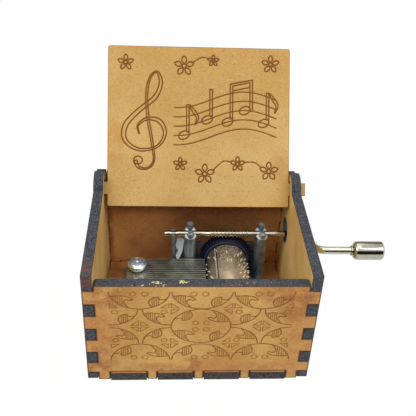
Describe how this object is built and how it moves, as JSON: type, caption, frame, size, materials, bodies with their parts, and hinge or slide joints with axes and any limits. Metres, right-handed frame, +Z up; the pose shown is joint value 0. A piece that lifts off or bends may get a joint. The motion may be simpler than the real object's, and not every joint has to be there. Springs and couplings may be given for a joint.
{
  "type": "music box",
  "caption": "Small hand cranked wooden music box with a finger jointed case, a lid that tips up on two pegs, and a comb movement turned by a bent wire crank.",
  "frame": {"origin": "middle of the case's underside, on the plane it stands on", "axes": "+X to the right, towards the crank's knob; +Y to the back, towards the lid's hinge; +Z up"},
  "size_m": [0.0876, 0.0709, 0.0748],
  "materials": {
    "front_panel": "laser cut fibreboard, burnt edges",
    "back_panel": "laser cut fibreboard, burnt edges",
    "left_side_panel": "laser cut fibreboard, burnt edges",
    "right_side_panel": "laser cut fibreboard, burnt edges",
    "base_panel": "laser cut fibreboard, burnt edges",
    "lid_panel": "laser cut fibreboard, engraved",
    "movement_frame": "bare zinc die casting, dull",
    "tuned_comb": "hardened steel, dull",
    "comb_screw_rear": "zinc plated, bright",
    "comb_screw_front": "zinc plated, bright",
    "base_screw_1": "plated steel",
    "base_screw_2": "plated steel",
    "base_screw_3": "plated steel",
    "tune_cylinder": "nickelled steel, satin",
    "cylinder_front_cap": "moulded",
    "cylinder_arbor": "ground steel",
    "arbor_washer": "stamped",
    "worm_wheel": "moulded, near black",
    "crank_shaft": "bright nickel plated wire",
    "knob_collar": "plated",
    "crank_knob": "bright chrome"
  },
  "bodies": {
    "case": {"front_panel": "front_panel", "back_panel": "back_panel", "left_side_panel": "left_side_panel", "right_side_panel": "right_side_panel", "base_panel": "base_panel", "movement_frame": "movement_frame", "tuned_comb": "tuned_comb", "comb_screw_rear": "comb_screw_rear", "comb_screw_front": "comb_screw_front", "base_screw_1": "base_screw_1", "base_screw_2": "base_screw_2", "base_screw_3": "base_screw_3", "cylinder_arbor": "cylinder_arbor", "arbor_washer": "arbor_washer"},
    "lid": {"lid_panel": "lid_panel"},
    "cylinder": {"tune_cylinder": "tune_cylinder", "cylinder_front_cap": "cylinder_front_cap", "worm_wheel": "worm_wheel"},
    "crank": {"crank_shaft": "crank_shaft", "knob_collar": "knob_collar"},
    "knob": {"crank_knob": "crank_knob"}
  },
  "joints": [
    {"name": "lid_hinge", "type": "hinge", "parent": "case", "child": "lid", "pos_m": [0, 0.0175, 0.0375], "axis": [1, 0, 0], "range_deg": [-25, 124.5]},
    {"name": "crank_spin", "type": "hinge", "parent": "case", "child": "crank", "pos_m": [0, 0.0139, 0.02265], "axis": [1, 0, 0], "continuous": true},
    {"name": "cylinder_spin", "type": "hinge", "parent": "case", "child": "cylinder", "pos_m": [0.0101, 0, 0.01315], "axis": [0, 1, 0], "continuous": true},
    {"name": "knob_spin", "type": "hinge", "parent": "crank", "child": "knob", "pos_m": [0.0508, -0.00362, 0.02973], "axis": [1, 0, 0], "continuous": true}
  ],
  "couplings": [
    {"joint": "cylinder_spin", "follows": "crank_spin", "ratio": -0.022727}
  ]
}
